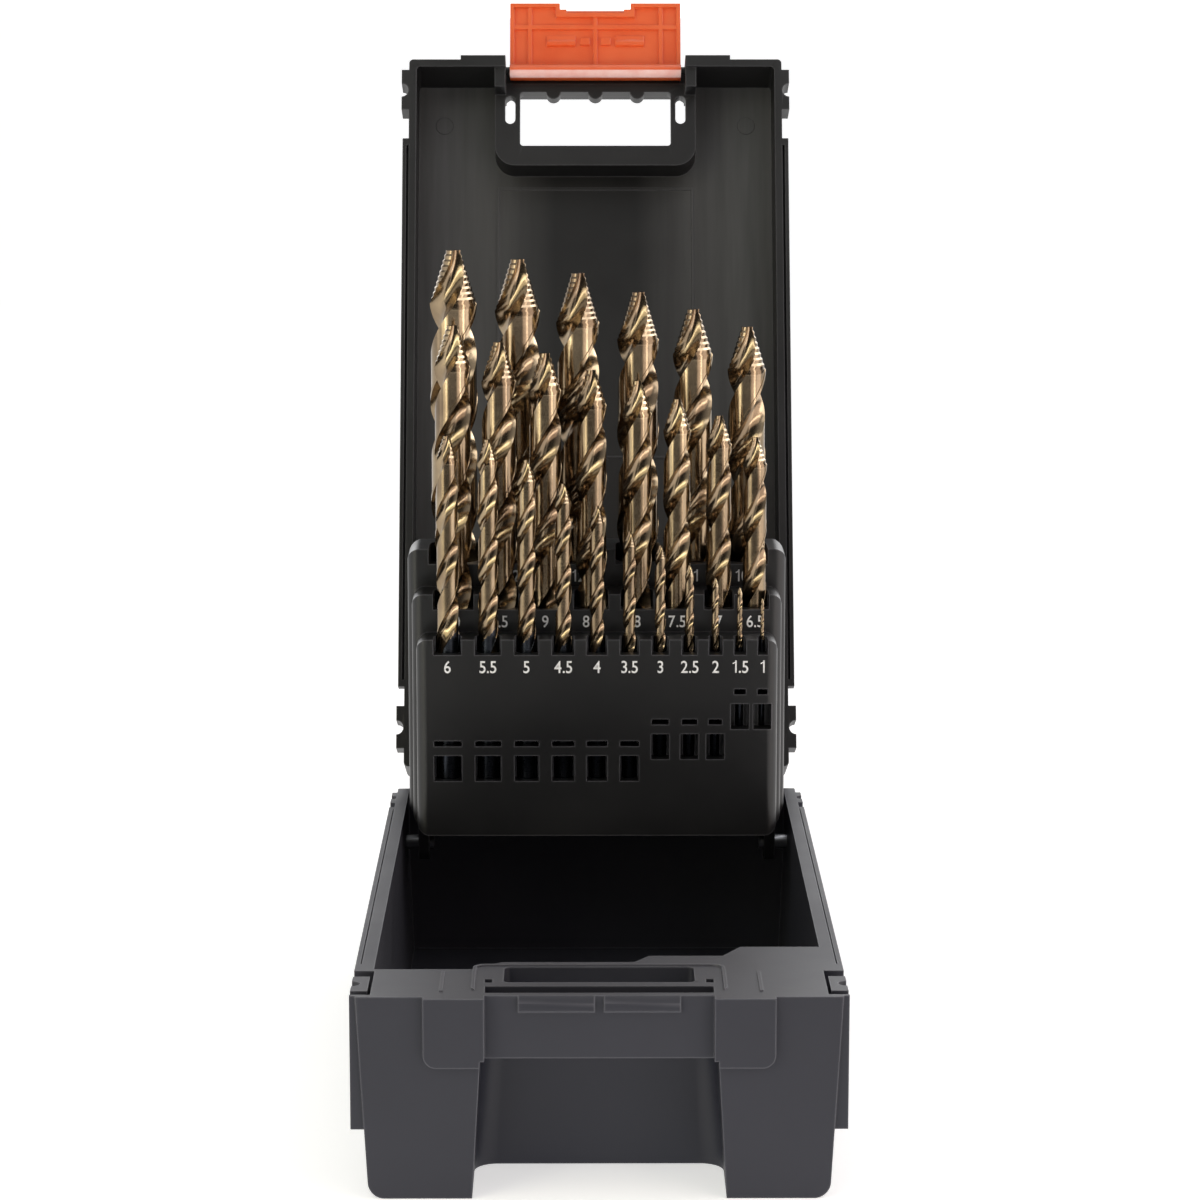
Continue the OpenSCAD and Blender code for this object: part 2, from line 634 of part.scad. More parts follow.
// One drill, standing on its shank: length l with flutes over the last f
module drill(row, i, lengths, flutes, steps) {
  d = ROW_D[row][i];
  l = lengths[i];
  f = flutes[i];
  turn = 360 / (lead * d);
  point = point_len * d;
  body = f - point;
  step_h = point / steps;
  translate([drill_x(row, i), row_y[row], rack_z + floor_up(row, i)]) {
    color("#5a5b5e") cylinder(r = d / 2, h = l - f + 0.3, $fn = 48);
    color("#a9855a") translate([0, 0, l - f]) {
      linear_extrude(body, twist = -turn * body, slices = ceil(turn * body / 40), segments = 8) flute_shape(d / 2 - 0.01);
      // each step of the point is narrower than the one under it, and reaches into it
      for (k = [0:steps - 1]) {
        z0 = body + k * step_h - 0.1;
        h = step_h + 0.1;
        translate([0, 0, z0]) rotate(turn * z0)
          linear_extrude(h, twist = -turn * h, slices = 1, segments = 8) flute_shape(d / 2 * (0.92 - 0.66 * k / (steps - 1)));
      }
    }
  }
}

module drill_13() { drill(2, 0, REAR_L, REAR_F, 4); }
module drill_12_5() { drill(2, 1, REAR_L, REAR_F, 4); }
module drill_12() { drill(2, 2, REAR_L, REAR_F, 4); }
module drill_11_5() { drill(2, 3, REAR_L, REAR_F, 4); }
module drill_11() { drill(2, 4, REAR_L, REAR_F, 4); }
module drill_10_5() { drill(2, 5, REAR_L, REAR_F, 4); }
module drill_10() { drill(1, 0, MID_L, MID_F, 4); }
module drill_9_5() { drill(1, 1, MID_L, MID_F, 4); }
module drill_9() { drill(1, 2, MID_L, MID_F, 4); }
module drill_8_5() { drill(1, 3, MID_L, MID_F, 4); }
module drill_8() { drill(1, 4, MID_L, MID_F, 4); }
module drill_7_5() { drill(1, 5, MID_L, MID_F, 4); }
module drill_7() { drill(1, 6, MID_L, MID_F, 4); }
module drill_6_5() { drill(1, 7, MID_L, MID_F, 4); }
module drill_6() { drill(0, 0, FRONT_L, FRONT_F, 3); }
module drill_5_5() { drill(0, 1, FRONT_L, FRONT_F, 3); }
module drill_5() { drill(0, 2, FRONT_L, FRONT_F, 3); }
module drill_4_5() { drill(0, 3, FRONT_L, FRONT_F, 3); }
module drill_4() { drill(0, 4, FRONT_L, FRONT_F, 3); }
module drill_3_5() { drill(0, 5, FRONT_L, FRONT_F, 3); }
module drill_3() { drill(0, 6, FRONT_L, FRONT_F, 3); }
module drill_2_5() { drill(0, 7, FRONT_L, FRONT_F, 3); }
module drill_2() { drill(0, 8, FRONT_L, FRONT_F, 3); }
module drill_1_5() { drill(0, 9, FRONT_L, FRONT_F, 3); }
module drill_1() { drill(0, 10, FRONT_L, FRONT_F, 3); }

base();
lid();
rack();
latch();
latch_pin();
hinge_pin_left();
hinge_pin_right();
rack_pin_left();
rack_pin_right();
drill_13();
drill_12_5();
drill_12();
drill_11_5();
drill_11();
drill_10_5();
drill_10();
drill_9_5();
drill_9();
drill_8_5();
drill_8();
drill_7_5();
drill_7();
drill_6_5();
drill_6();
drill_5_5();
drill_5();
drill_4_5();
drill_4();
drill_3_5();
drill_3();
drill_2_5();
drill_2();
drill_1_5();
drill_1();
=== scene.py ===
"""Looks of the drill bit case: moulded shells, orange latch, stepped-point twist drills, white size numbers.

Places are in metres in the case's own frame: +X right, +Y from the front to the hinge, +Z up.
"""
import json
import math

import bmesh
import bpy
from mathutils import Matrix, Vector

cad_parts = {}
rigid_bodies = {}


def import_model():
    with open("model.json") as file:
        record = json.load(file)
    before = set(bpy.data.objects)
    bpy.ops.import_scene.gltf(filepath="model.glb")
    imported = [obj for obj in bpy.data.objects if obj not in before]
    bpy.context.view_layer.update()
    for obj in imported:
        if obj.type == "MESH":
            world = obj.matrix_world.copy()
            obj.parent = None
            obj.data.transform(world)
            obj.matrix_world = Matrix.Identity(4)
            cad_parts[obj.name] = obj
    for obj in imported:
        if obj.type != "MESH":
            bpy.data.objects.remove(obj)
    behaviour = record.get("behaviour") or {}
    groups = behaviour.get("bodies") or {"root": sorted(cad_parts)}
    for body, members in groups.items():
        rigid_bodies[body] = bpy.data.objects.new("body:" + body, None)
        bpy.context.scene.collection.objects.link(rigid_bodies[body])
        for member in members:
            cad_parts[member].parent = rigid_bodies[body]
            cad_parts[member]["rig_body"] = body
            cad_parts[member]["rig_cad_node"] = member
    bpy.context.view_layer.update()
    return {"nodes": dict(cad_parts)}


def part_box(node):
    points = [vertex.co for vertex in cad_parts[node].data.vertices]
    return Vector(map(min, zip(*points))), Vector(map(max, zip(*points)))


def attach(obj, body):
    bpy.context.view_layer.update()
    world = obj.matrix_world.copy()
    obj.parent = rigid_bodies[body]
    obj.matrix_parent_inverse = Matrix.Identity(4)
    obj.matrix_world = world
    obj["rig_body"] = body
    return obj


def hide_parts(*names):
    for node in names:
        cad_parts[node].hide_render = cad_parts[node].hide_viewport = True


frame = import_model()
NODES = frame["nodes"]
MM = 0.001

# ---- sizes that the case's construction also has, in millimetres and degrees ----
BASE_H = 48.4
LID_LEAN = 21
TIER_DEPTH = [11, 12.5, 17.5]
TIER_TOP = [BASE_H + 52, BASE_H + 62.4, BASE_H + 72.8]

# Drill sizes in each row from left to right, with their places and flute lengths; the printed numbers reach
# from the first to the second value of top_down below the tier's top
FRONT_ROW = {
    "d": [6, 5.5, 5, 4.5, 4, 3.5, 3, 2.5, 2, 1.5, 1],
    "x": [-40.3, -29.4, -19, -9.1, 0, 8.8, 17.1, 25, 32, 38.6, 44.7],
    "flute": [59, 58.4, 53, 47, 41, 37, 32, 29, 24, 18, 12],
    "top_down": (9.1, 5.7),
}
MIDDLE_ROW = {
    "d": [10, 9.5, 9, 8.5, 8, 7.5, 7, 6.5],
    "x": [-39, -26.5, -14, -1.5, 11, 21.8, 33.2, 43],
    "flute": [87, 83, 81, 77, 75, 71, 69, 63],
    "top_down": (9.0, 5.7),
}
REAR_ROW = {
    "d": [13, 12.5, 12, 11.5, 11, 10.5],
    "x": [-39.1, -21.6, -5.1, 11.4, 26.4, 41.2],
    "flute": [101, 101, 97, 94, 90, 87],
    "top_down": (9.0, 5.7),
}
ROWS = (FRONT_ROW, MIDDLE_ROW, REAR_ROW)

# ---- shape of a drill: angles in degrees, lengths as shares of the radius or the diameter ----
# Helix lead as a multiple of the diameter: large drills have the steeper flutes
LEAD_SMALL = 6.4
LEAD_FALL = 0.16
TWIST_PER_CUT = 9
# Section: half a land's width and where its raised margin starts, from the land's middle
LAND_HALF = 43
MARGIN_FROM = 33
LAND_RELIEF = 0.965
WEB = 0.4
# The hollow of a flute is a curve from the cutting edge to the next heel, drawn towards these two points
NEAR_EDGE = (0.317, 0.276)
NEAR_HEEL = (-0.15, 0.38)
PHASE = 135
# Stepped point: its length, the pilot's width, a step's shoulder and how much the flutes thin it
POINT_LEN = 1.12
PILOT = 0.3
SHOULDER = 0.38
POINT_THINNING = 0.7
# Where the flutes run out into the shank
RUN_OUT = 1.45
RUN_OUT_CURVE = 1.5
GREY_TONGUE = 0.6
# A face is part of a land when all its corners are at least this far out
LAND_FROM = 0.955
# The flutes end just inside the shank's surface
NEARLY_ROUND = 0.999

# ---- printing and edges ----
INK_LIFT = 0.00004
LETTER_GAP = 0.1
# The digit 1 as shares of its height: a stem and a slanted flag
STEM = {"at": (0.31, 0.5), "size": (0.125, 1), "turn": 0}
FLAG = {"at": (0.16, 0.795), "size": (0.24, 0.09), "turn": 28}
ONE_WIDTH = 0.44
NARROWED = 0.86
# Painted edge highlights: edges are painted paler where the rounded normal leans away from the flat one, given
# as cosines
EDGE_SHEEN_MM = 0.6
SHEEN_STARTS = 0.99
SHEEN_FULL = 0.85


# ---- colours and nodes ----

def srgb(hex_code):
    """Linear colour from an sRGB hex value."""
    channels = [int(hex_code[i:i + 2], 16) / 255 for i in (1, 3, 5)]
    return [c / 12.92 if c <= 0.04045 else ((c + 0.055) / 1.055) ** 2.4 for c in channels] + [1]


def grey(value):
    return (value, value, value, 1)


def add_node(tree, kind, settings=None, inputs=None, links=None):
    """One shader node with its settings, input values and incoming links (input name or number: socket)."""
    node = tree.nodes.new(kind)
    for name, value in (settings or {}).items():
        setattr(node, name, value)
    for name, value in (inputs or {}).items():
        node.inputs[name].default_value = value
    for name, socket in (links or {}).items():
        tree.links.new(socket, node.inputs[name])
    return node


def new_material(name):
    """A material, its node tree and its shader."""
    material = bpy.data.materials.new(name)
    material.use_nodes = True
    tree = material.node_tree
    return material, tree, tree.nodes["Principled BSDF"]


def set_shader(tree, shader, values, links):
    """Uniform values and incoming links of the shader."""
    for name, value in values.items():
        shader.inputs[name].default_value = value
    for name, socket in links.items():
        tree.links.new(socket, shader.inputs[name])


def object_place(tree):
    return add_node(tree, "ShaderNodeTexCoord").outputs["Object"]


def noise(tree, place, size_mm, detail, roughness=0.5):
    """Soft patches about size_mm wide."""
    node = add_node(tree, "ShaderNodeTexNoise",
                    inputs={"Scale": 1 / (size_mm * MM), "Detail": detail, "Roughness": roughness},
                    links={"Vector": place})
    return node.outputs["Fac"]


def stretched(tree, place, scale):
    """Places scaled along each axis, for patches drawn out into streaks."""
    node = add_node(tree, "ShaderNodeMapping", inputs={"Scale": scale}, links={"Vector": place})
    return node.outputs["Vector"]


def maths(tree, operation, *terms):
    """One calculation on sockets and plain numbers."""
    node = add_node(tree, "ShaderNodeMath", {"operation": operation})
    for number, term in enumerate(terms):
        if isinstance(term, (int, float)):
            node.inputs[number].default_value = term
        else:
            tree.links.new(term, node.inputs[number])
    return node.outputs["Value"]


def colour_ramp(tree, factor, stops):
    """Colours from stops of (place, colour)."""
    ramp = add_node(tree, "ShaderNodeValToRGB", links={"Fac": factor})
    while len(ramp.color_ramp.elements) < len(stops):
        ramp.color_ramp.elements.new(0.5)
    for element, (place, colour) in zip(ramp.color_ramp.elements, stops):
        element.position = place
        element.color = colour
    return ramp.outputs["Color"]


def mixed(tree, share, colour, other):
    node = add_node(tree, "ShaderNodeMix", {"data_type": "RGBA"}, {"B": srgb(other)},
                    {"Factor": share, "A": colour})
    return node.outputs["Result"]


def relief(tree, height, strength, depth_mm):
    node = add_node(tree, "ShaderNodeBump", inputs={"Strength": strength, "Distance": depth_mm * MM},
                    links={"Height": height})
    return node.outputs["Normal"]


# ---- finishes ----

def pale_edges(tree, colour, edge_highlight_colour, edge):
    """Painted edge highlights: the edges show as thin pale lines, mixed into the base colour where they are
    rounded.
    """
    rounded = add_node(tree, "ShaderNodeBevel", {"samples": 4}, {"Radius": EDGE_SHEEN_MM * MM})
    true_normal = add_node(tree, "ShaderNodeNewGeometry").outputs["True Normal"]
    agree = add_node(tree, "ShaderNodeVectorMath", {"operation": "DOT_PRODUCT"},
                     links={0: rounded.outputs["Normal"], 1: true_normal})
    highlight_share = add_node(tree, "ShaderNodeMapRange",
                      inputs={"From Min": SHEEN_STARTS, "From Max": SHEEN_FULL, "To Min": 0, "To Max": edge},
                      links={"Value": agree.outputs["Value"]})
    return mixed(tree, highlight_share.outputs["Result"], colour, edge_highlight_colour)


def grey_flanks(tree, place, colour, flank_sheen):
    """Painted sheen: greyer streaks along the lid, stronger towards both of its sides, where light glances off
    it.
    """
    half_width = 60
    split = add_node(tree, "ShaderNodeSeparateXYZ", links={"Vector": place})
    aside = maths(tree, "ABSOLUTE", maths(tree, "MULTIPLY", split.outputs["X"], 1 / (half_width * MM)))
    beside = colour_ramp(tree, aside, [(0.2, grey(0)), (0.5, grey(0.55)), (0.75, grey(1))])
    streak = noise(tree, stretched(tree, place, (1, 0.06, 0.06)), 5, 3, 0.6)
    uneven = colour_ramp(tree, streak, [(0.3, grey(0.6)), (0.7, grey(1))])
    return mixed(tree, maths(tree, "MULTIPLY", beside, uneven), colour, flank_sheen)


def moulded_polypropylene(name, dark, light, roughness, edge_highlight_colour, edge=0.5, grain_mm=0.55, bump=0.12,
                          specular=0.5, flank_sheen=None):
    """Polypropylene from a spark-eroded mould: a fine leathery grain breaks its sheen into a soft haze. Its
    edges get painted highlights, and a lid's inside can get a painted sheen on its flanks.
    """
    material, tree, shader = new_material(name)
    place = object_place(tree)
    cloud = noise(tree, place, 35, 4, 0.6)
    colour = colour_ramp(tree, cloud, [(0.3, srgb(dark)), (0.75, srgb(light))])
    if flank_sheen:
        colour = grey_flanks(tree, place, colour, flank_sheen)
    haze = colour_ramp(tree, cloud, [(0.25, grey(roughness - 0.05)), (0.8, grey(roughness + 0.07))])
    grain = noise(tree, place, grain_mm, 3, 0.55)
    set_shader(tree, shader, {"IOR": 1.49, "Specular IOR Level": specular}, {
        "Base Color": pale_edges(tree, colour, edge_highlight_colour, edge),
        "Roughness": haze,
        "Normal": relief(tree, grain, bump, 0.08),
    })
    return material


def orange_acetal():
    """Glossy injection-moulded acetal: bright orange with faint flow marks, smooth to the touch."""
    material, tree, shader = new_material("moulded_orange_acetal")
    flow = noise(tree, object_place(tree), 9, 2)
    glow = {"Subsurface Weight": 0.08, "Subsurface Radius": (0.004, 0.0015, 0.0008)}
    set_shader(tree, shader, {"IOR": 1.48, **glow}, {
        "Base Color": colour_ramp(tree, flow, [(0.3, srgb("#e35f2d")), (0.8, srgb("#ea6e3b"))]),
        "Roughness": colour_ramp(tree, flow, [(0.3, grey(0.28)), (0.8, grey(0.36))]),
    })
    return material


def rubbed_acetal():
    """Painted reflection: a milky pink strip on the latch's barrel, where its curve mirrors the pale floor; it
    catches the light.
    """
    material, tree, shader = new_material("painted_floor_reflection_acetal")
    haze = noise(tree, object_place(tree), 5, 3, 0.6)
    set_shader(tree, shader, {"IOR": 1.48, "Roughness": 0.3}, {
        "Base Color": colour_ramp(tree, haze, [(0.3, srgb("#e9a9a0")), (0.75, srgb("#f3cfca"))]),
    })
    return material


def ground_steel(name, dark, light, roughness):
    """Steel ground by a wheel: hair-fine lines across it and a temper colour that varies along it."""
    material, tree, shader = new_material(name)
    place = object_place(tree)
    heat = noise(tree, place, 14, 3, 0.6)
    lines = noise(tree, stretched(tree, place, (1, 1, 6)), 1.2, 3, 0.6)
    set_shader(tree, shader, {"Metallic": 1.0}, {
        "Base Color": colour_ramp(tree, heat, [(0.3, srgb(dark)), (0.72, srgb(light))]),
        "Roughness": colour_ramp(tree, lines, [(0.2, grey(roughness - 0.08)), (0.85, grey(roughness + 0.1))]),
        "Normal": relief(tree, lines, 0.1, 0.03),
    })
    return material


def printed_white_ink():
    """Pad-printed white ink: chalky, with a little of the black showing through its thin spots."""
    material, tree, shader = new_material("pad_printed_white_ink")
    thin = noise(tree, object_place(tree), 0.8, 2)
    set_shader(tree, shader, {"Roughness": 0.7}, {
        "Base Color": colour_ramp(tree, thin, [(0.25, srgb("#c9cacc")), (0.6, srgb("#f2f2f2"))]),
    })
    return material


# the pale colour after the roughness is each one's painted edge highlight
CASE_GREY = moulded_polypropylene("moulded_grey_polypropylene", "#272832", "#2d2e38", 0.5, "#7c7c84")
CASE_BLACK = moulded_polypropylene("moulded_black_polypropylene", "#121213", "#18181a", 0.42, "#5c5c60",
                                   specular=0.36)
# the lid's inner floor gets a painted sheen, greyer towards its sides
LID_INSIDE = moulded_polypropylene("black_polypropylene_with_painted_sheen", "#101011", "#151516", 0.42, "#5c5c60",
                                   specular=0.36, flank_sheen="#565656")
RACK_BLACK = moulded_polypropylene("satin_black_polypropylene", "#131315", "#18181a", 0.36, "#6c6c72",
                                   edge=0.55, grain_mm=0.4, bump=0.07)
ORANGE = orange_acetal()
# a painted reflection of the pale floor, for the latch's barrel
BARREL_REFLECTION = rubbed_acetal()
BRONZE = ground_steel("bronze_tempered_high_speed_steel", "#7b6a57", "#a89579", 0.18)
SHANK = ground_steel("ground_grey_shank_steel", "#2c2f35", "#464a52", 0.3)
PIN_STEEL = ground_steel("drawn_steel_wire", "#6d6e71", "#9b9ca0", 0.35)
INK = printed_white_ink()


# ---- modelling helpers ----

def deselect():
    if bpy.context.mode != "OBJECT":
        bpy.ops.object.mode_set(mode="OBJECT")
    bpy.ops.object.select_all(action="DESELECT")


def activate(piece):
    deselect()
    piece.select_set(True)
    bpy.context.view_layer.objects.active = piece
    return piece


def settle(piece):
    """Puts the piece's place, turn and size into its mesh, so that its object sits at the origin."""
    activate(piece)
    bpy.ops.object.transform_apply(location=True, rotation=True, scale=True)
    return piece


def join(piece, others):
    activate(piece)
    for other in others:
        other.select_set(True)
    if others:
        bpy.ops.object.join()
    return piece


def apply_modifier(piece, kind, **settings):
    activate(piece)
    modifier = piece.modifiers.new(kind.lower(), kind)
    for name, value in settings.items():
        setattr(modifier, name, value)
    bpy.ops.object.modifier_apply(modifier=modifier.name)


def shade_smooth(piece, angle):
    activate(piece)
    bpy.ops.object.shade_smooth_by_angle(angle=math.radians(angle))


def finish_piece(piece, body, replaces=()):
    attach(piece, body)
    if replaces:
        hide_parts(*replaces)
    return piece


# ---- shells ----

def moulding(node, body, materials, edge_mm):
    """The node's solid with the small round edges of a moulding."""
    piece = NODES[node].copy()
    piece.data = NODES[node].data.copy()
    piece.name = node + "_moulding"
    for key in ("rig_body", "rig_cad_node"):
        if key in piece:
            del piece[key]
    bpy.context.scene.collection.objects.link(piece)
    piece.parent = None
    activate(piece)
    bpy.ops.object.mode_set(mode="EDIT")
    bpy.ops.mesh.select_all(action="SELECT")
    bpy.ops.mesh.remove_doubles(threshold=0.00001)
    bpy.ops.mesh.dissolve_limited(angle_limit=math.radians(0.5))
    bpy.ops.object.mode_set(mode="OBJECT")
    apply_modifier(piece, "BEVEL", width=edge_mm * MM, segments=2, limit_method="ANGLE",
                   angle_limit=math.radians(40), harden_normals=False, use_clamp_overlap=True)
    apply_modifier(piece, "TRIANGULATE")
    shade_smooth(piece, 40)
    apply_modifier(piece, "WEIGHTED_NORMAL", mode="FACE_AREA", weight=100, keep_sharp=True)
    piece.data.materials.clear()
    for material in materials:
        piece.data.materials.append(material)
    return finish_piece(piece, body, [node])


def streak_inside(lid):
    """The second material, with the painted sheen, on the lid's inner floor: the faces at its depth that look
    into the open case.
    """
    leaning = math.radians(LID_LEAN)
    inward = Vector((0, -math.cos(leaning), math.sin(leaning)))
    facing = [face for face in lid.data.polygons if face.normal.dot(inward) > 0.98]
    inner_floor = min(face.center.dot(inward) for face in facing)
    floor_depth = 5 * MM
    for face in facing:
        if face.center.dot(inward) < inner_floor + floor_depth:
            face.material_index = 1


def rub_barrel(latch):
    """The second material, a painted reflection of the floor, on the latch's barrel: the strip below its middle
    that looks to the front.
    """
    pin_low, pin_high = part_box("latch_pin")
    pin = (pin_low + pin_high) / 2
    barrel_reach = 3.6 * MM
    for face in latch.data.polygons:
        away = face.center - pin
        on_barrel = math.hypot(away.y, away.z) < barrel_reach
        if on_barrel and -0.95 < face.normal.z < 0.3 and face.normal.y < -0.3:
            face.material_index = 1


def make_shells():
    moulding("base", "base_body", [CASE_GREY], 0.35)
    # the lid's inner floor gets the painted sheen
    streak_inside(moulding("lid", "lid_body", [CASE_BLACK, LID_INSIDE], 0.3))
    moulding("rack", "rack_body", [RACK_BLACK], 0.3)
    # the latch's barrel gets the painted floor reflection
    rub_barrel(moulding("latch", "latch_body", [ORANGE, BARREL_REFLECTION], 0.2))


def dress_pins():
    steel_pins = ("hinge_pin_left", "hinge_pin_right", "rack_pin_left", "rack_pin_right")
    for node, material in [("latch_pin", CASE_BLACK)] + [(pin, PIN_STEEL) for pin in steel_pins]:
        NODES[node].data.materials.clear()
        NODES[node].data.materials.append(material)


# ---- drills ----

def flute_outline(radius):
    """Cross-section of a two-flute drill as points: relieved lands, raised margins and hollow flutes."""
    half = []
    for i in range(13):
        angle = math.radians(-LAND_HALF + (MARGIN_FROM + LAND_HALF) * i / 12)
        half.append((LAND_RELIEF * math.cos(angle), LAND_RELIEF * math.sin(angle)))
    margin_edge = MARGIN_FROM + 0.6
    for i in range(4):
        angle = math.radians(margin_edge + (LAND_HALF - margin_edge) * i / 3)
        half.append((math.cos(angle), math.sin(angle)))
    heel = math.radians(180 - LAND_HALF)
    curve = (half[-1], NEAR_EDGE, NEAR_HEEL, (LAND_RELIEF * math.cos(heel), LAND_RELIEF * math.sin(heel)))
    for i in range(1, 22):
        t = i / 22
        shares = ((1 - t) ** 3, 3 * t * (1 - t) ** 2, 3 * t * t * (1 - t), t ** 3)
        half.append(tuple(sum(share * place[axis] for share, place in zip(shares, curve)) for axis in (0, 1)))
    return [(radius * x, radius * y) for x, y in half + [(-x, -y) for x, y in half]]


def point_steps(diameter):
    """How many steps a drill's point has."""
    for least, steps in ((11, 10), (9, 8), (5, 6)):
        if diameter > least:
            return steps
    return 5


def drill_blank(name, radius, place, straight, step, steps):
    """The section drawn up along the straight stretch and over the steps of the point, not yet twisted."""
    outline = flute_outline(radius)
    deselect()
    bpy.ops.mesh.primitive_circle_add(vertices=len(outline), radius=radius, fill_type="NGON", location=place)
    blank = bpy.context.object
    blank.name = name
    for vertex, (x, y) in zip(blank.data.vertices, outline):
        vertex.co.x, vertex.co.y = x, y
    bpy.ops.object.mode_set(mode="EDIT")
    bpy.ops.mesh.select_mode(type="FACE")
    bpy.ops.mesh.select_all(action="SELECT")
    for rise in [straight] + [step * SHOULDER, step * (1 - SHOULDER)] * steps:
        bpy.ops.mesh.extrude_region_move(TRANSFORM_OT_translate={"value": (0, 0, rise)})
    bpy.ops.object.mode_set(mode="OBJECT")
    return blank


def is_grey(face, radius, run_out):
    """Where the flutes run out, the lands are as grey as the shank, up to a blunt tongue in their middle."""
    on_land = all(math.hypot(vertex.co.x, vertex.co.y) > LAND_FROM * radius for vertex in face.verts)
    middle = face.calc_center_median()
    aside = abs((math.degrees(math.atan2(middle.y, middle.x)) + 90) % 180 - 90) / LAND_HALF
    return on_land and middle.z < run_out * (1 - GREY_TONGUE * aside)


def reach(here, z, radius, straight, point, steps, run_out):
    """Where a point of the section ends up, as its distance from the drill's axis."""
    step = point / steps
    if z < run_out:
        # the flutes run out into the round shank
        return here + (radius * NEARLY_ROUND - here) * (1 - max(z / run_out, 0)) ** RUN_OUT_CURVE
    half_shoulder = step * SHOULDER / 2
    if z <= straight + half_shoulder:
        return here
    # an edge that ends a step still belongs to that step, also when its height is rounded up a little
    rounding = 0.05
    done = min(math.ceil((z - straight) / step - rounding), steps)
    in_flute = min(max((LAND_RELIEF * radius - here) / ((LAND_RELIEF - WEB) * radius), 0), 1) ** 0.5
    thinned = here * (1 - POINT_THINNING * in_flute * ((z - straight) / point) ** 0.8)
    return min(thinned, radius * (1 - (1 - PILOT) * done / steps))


def cut_flutes(blank, diameter, straight, point, steps):
    """Twists the blank by its lead, runs the flutes out below and narrows the steps of the point."""
    radius = diameter / 2 * MM
    run_out = RUN_OUT * diameter * MM
    turn = 2 * math.pi / ((LEAD_SMALL - LEAD_FALL * diameter) * diameter * MM)
    cuts = max(int(straight * turn / math.radians(TWIST_PER_CUT)), 6)
    mesh = bmesh.new()
    mesh.from_mesh(blank.data)
    tall = [edge for edge in mesh.edges if abs(edge.verts[0].co.z - edge.verts[1].co.z) > straight * 0.9]
    bmesh.ops.subdivide_edges(mesh, edges=tall, cuts=cuts, use_grid_fill=True)
    for face in mesh.faces:
        face.material_index = int(is_grey(face, radius, run_out))
    for vertex in mesh.verts:
        x, y, z = vertex.co
        here = math.hypot(x, y)
        share = reach(here, z, radius, straight, point, steps, run_out) / here
        angle = turn * (z - straight) + math.radians(PHASE)
        vertex.co.x = share * (x * math.cos(angle) - y * math.sin(angle))
        vertex.co.y = share * (x * math.sin(angle) + y * math.cos(angle))
    mesh.to_mesh(blank.data)
    mesh.free()


def drill_shank(radius, length, place):
    bpy.ops.mesh.primitive_cylinder_add(vertices=48, radius=radius, depth=length, location=place)
    shank = bpy.context.object
    apply_modifier(shank, "BEVEL", width=min(0.4 * MM, radius * 0.25), segments=2, limit_method="ANGLE")
    return shank


def make_drill(label, diameter, flute_length):
    """A drill in the place and length of its solid: grey round shank, bronze flutes and stepped point."""
    node = "drill_" + label
    low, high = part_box(node)
    centre = (low + high) / 2
    radius = diameter / 2 * MM
    shank_length = high.z - low.z - flute_length * MM
    point = POINT_LEN * diameter * MM
    straight = flute_length * MM - point
    steps = point_steps(diameter)
    fluted = drill_blank("twist_" + node, radius, (centre.x, centre.y, low.z + shank_length),
                         straight, point / steps, steps)
    cut_flutes(fluted, diameter, straight, point, steps)
    shank = drill_shank(radius, shank_length, (centre.x, centre.y, low.z + shank_length / 2))
    for part in (fluted, shank):
        part.data.materials.append(BRONZE)
        part.data.materials.append(SHANK)
    for face in shank.data.polygons:
        face.material_index = 1
    drill = settle(join(fluted, [shank]))
    shade_smooth(drill, 32)
    finish_piece(drill, node + "_body", [node])


def size_label(size):
    return str(size).replace(".", "_")


def make_drills():
    for row in ROWS:
        for size, flute in zip(row["d"], row["flute"]):
            make_drill(size_label(size), size, flute)


# ---- printed sizes ----

def move_right(piece, distance):
    for vertex in piece.data.vertices:
        vertex.co.x += distance


def make_bar(bar, height):
    """A straight stroke of a digit."""
    deselect()
    bpy.ops.mesh.primitive_plane_add(size=1, location=(bar["at"][0] * height, bar["at"][1] * height, 0))
    stroke = bpy.context.object
    stroke.scale = (bar["size"][0] * height, bar["size"][1] * height, 1)
    stroke.rotation_euler.z = math.radians(bar["turn"])
    return settle(stroke)


def make_digit(character, height):
    """One printed character as a flat mesh piece standing on the origin, and its width."""
    if character == "1":
        return join(make_bar(STEM, height), [make_bar(FLAG, height)]), ONE_WIDTH * height
    cap_share = 0.72
    thicker = 0.012
    deselect()
    bpy.ops.object.text_add()
    text = bpy.context.object
    text.data.body = character
    text.data.size = height / cap_share
    text.data.offset = thicker * height
    text.scale = (NARROWED, 1, 1)
    bpy.ops.object.convert(target="MESH")
    digit = settle(bpy.context.object)
    left = min(vertex.co.x for vertex in digit.data.vertices)
    right = max(vertex.co.x for vertex in digit.data.vertices)
    move_right(digit, -left)
    return digit, right - left


def print_number(size, x, face, foot, height):
    """A drill's size, centred on x, standing on foot against the tier's face."""
    gap = LETTER_GAP * height
    digits = []
    width = 0
    for character in str(size):
        digit, digit_width = make_digit(character, height)
        move_right(digit, width)
        width += digit_width + gap
        digits.append(digit)
    number = join(digits[0], digits[1:])
    number.name = "printed_size_" + size_label(size)
    number.rotation_euler.x = math.pi / 2
    number.location = (x - (width - gap) / 2, face - INK_LIFT, foot)
    settle(number)
    number.data.materials.clear()
    number.data.materials.append(INK)
    finish_piece(number, "rack_body")


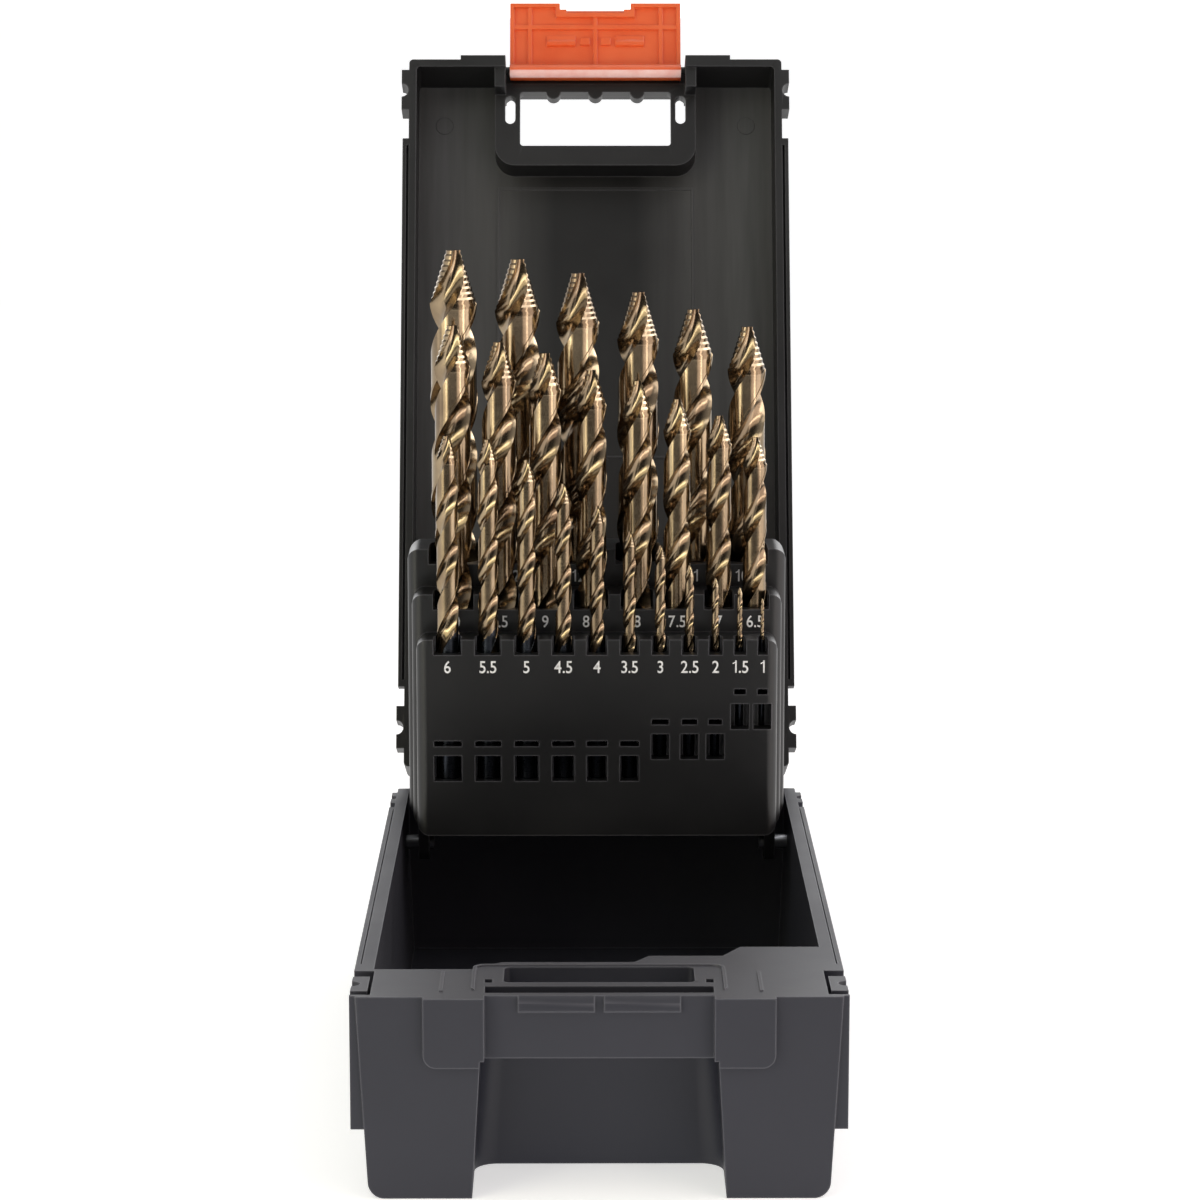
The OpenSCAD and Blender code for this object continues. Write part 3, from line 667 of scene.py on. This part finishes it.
def make_numbers():
    """White size numbers under the notches of each tier, as thin printed shapes."""
    rack_low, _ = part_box("rack")
    for tier, row in enumerate(ROWS):
        face = rack_low.y + sum(TIER_DEPTH[:tier]) * MM
        foot_down, head_down = row["top_down"]
        foot = (TIER_TOP[tier] - foot_down) * MM
        height = (foot_down - head_down) * MM
        for size, x in zip(row["d"], row["x"]):
            print_number(size, x * MM, face, foot, height)


# ---- studio ----

def make_camera():
    """The photograph's view: from the front, a little above the open case."""
    data = bpy.data.cameras.new("camera")
    data.lens = 115.8
    data.sensor_width = 36
    data.clip_end = 10
    camera = bpy.data.objects.new("camera", data)
    bpy.context.scene.collection.objects.link(camera)
    camera.location = (-3.45 * MM, -962 * MM, 295.8 * MM)
    camera.rotation_euler = (math.radians(90 - 10.25), 0, math.radians(-0.24))
    bpy.context.scene.camera = camera
    bpy.context.scene.view_settings.view_transform = "Standard"


def stage_plane(name, material_name, size, place, colour, roughness, glow=0.0):
    deselect()
    bpy.ops.mesh.primitive_plane_add(size=1, location=place)
    plane = bpy.context.object
    plane.name = name
    plane.scale = (size[0], size[1], 1)
    material, tree, shader = new_material(material_name)
    set_shader(tree, shader, {"Base Color": srgb(colour), "Roughness": roughness,
                              "Emission Color": (1, 1, 1, 1), "Emission Strength": glow}, {})
    plane.data.materials.append(material)
    return plane


def make_floor():
    """White paper lit from below that runs out of sight, and a black cloth in front of the case."""
    stage_plane("floor", "pale_studio_paper", (60, 66), (0, 25, 0), "#f4f4f4", 0.85, 0.5)
    cloth = stage_plane("front_cloth", "black_studio_cloth", (1.6, 1.2), (0, -1.0, 0.002), "#262626", 0.9)
    # the cloth is only seen in reflections, where it gives the steel its dark parts
    cloth.visible_camera = False
    cloth.visible_diffuse = False
    cloth.visible_shadow = False


def make_room():
    """A bright wall behind the case and a pale ceiling; the sides and the room behind the camera are dark."""
    world = bpy.data.worlds.new("studio")
    bpy.context.scene.world = world
    world.use_nodes = True
    tree = world.node_tree
    background = tree.nodes["Background"]
    direction = add_node(tree, "ShaderNodeTexCoord").outputs["Generated"]
    split = add_node(tree, "ShaderNodeSeparateXYZ", links={"Vector": direction})
    wall = colour_ramp(tree, split.outputs["Y"], [(0.6, grey(0.02)), (0.9, grey(1.0))])
    ceiling = colour_ramp(tree, split.outputs["Z"], [(0.4, grey(0.0)), (0.8, grey(0.3))])
    tree.links.new(maths(tree, "MAXIMUM", wall, ceiling), background.inputs["Color"])
    background.inputs["Strength"].default_value = 2.0


def area_light(name, place, target, size, power, colour=(1, 1, 1), in_metal=True, on_matt=True):
    """A rectangular lamp in watts. It can be kept out of mirror-like reflections or off matt surfaces."""
    data = bpy.data.lights.new(name, "AREA")
    data.shape = "RECTANGLE"
    data.size, data.size_y = size
    data.energy = power
    data.color = colour
    light = bpy.data.objects.new(name, data)
    bpy.context.scene.collection.objects.link(light)
    light.location = place
    light.rotation_euler = (Vector(target) - Vector(place)).to_track_quat("-Z", "Y").to_euler()
    light.visible_glossy = in_metal
    light.visible_diffuse = on_matt


def make_side_lights():
    """Yellowish panels at the left, pinkish ones at the right, and a strip at each side for thin highlights."""
    middle = (0, 0, 0.16)
    area_light("left_panel", (-0.5, -0.42, 0.36), middle, (0.46, 0.7), 1.6, (1, 0.96, 0.72))
    area_light("left_strip", (-0.5, -0.5, 0.36), middle, (0.1, 0.7), 1.0, (1, 0.97, 0.8), on_matt=False)
    area_light("left_side_panel", (-0.72, -0.02, 0.36), middle, (0.2, 0.7), 0.28, (1, 0.96, 0.86))
    area_light("right_panel", (0.52, -0.46, 0.34), middle, (0.5, 0.66), 1.2, (1, 0.84, 0.76))
    area_light("right_strip", (0.6, -0.4, 0.34), middle, (0.1, 0.66), 1.0, (1, 0.92, 0.86), on_matt=False)
    area_light("right_side_panel", (0.72, -0.04, 0.34), middle, (0.46, 0.66), 1.5, (1, 0.86, 0.82))


def make_front_and_high_lights():
    """A softbox and a low fill from the front, two small lamps into the lid, two panels above and behind."""
    area_light("front_softbox", (-0.9, -1.2, 1.0), (0, 0, 0.1), (0.5, 0.4), 0.5)
    area_light("low_fill", (0, -1.1, 0.05), (0, 0, 0.03), (1.0, 0.09), 1.2, in_metal=False)
    for name, side, power in (("lid_left_kicker", -1, 0.08), ("lid_right_kicker", 1, 0.04)):
        area_light(name, (side * 0.17, -0.125, 0.475), (side * 0.04, 0.15, 0.3), (0.1, 0.1), power)
    area_light("high_panel", (0.5, 0.1, 0.95), (0, 0, 0.2), (1.0, 1.0), 11, on_matt=False)
    area_light("rear_right_panel", (0.65, 0.6, 0.65), (0, 0, 0.2), (0.7, 0.7), 5, on_matt=False)


make_camera()
make_floor()
make_room()
make_side_lights()
make_front_and_high_lights()
make_shells()
dress_pins()
make_drills()
make_numbers()
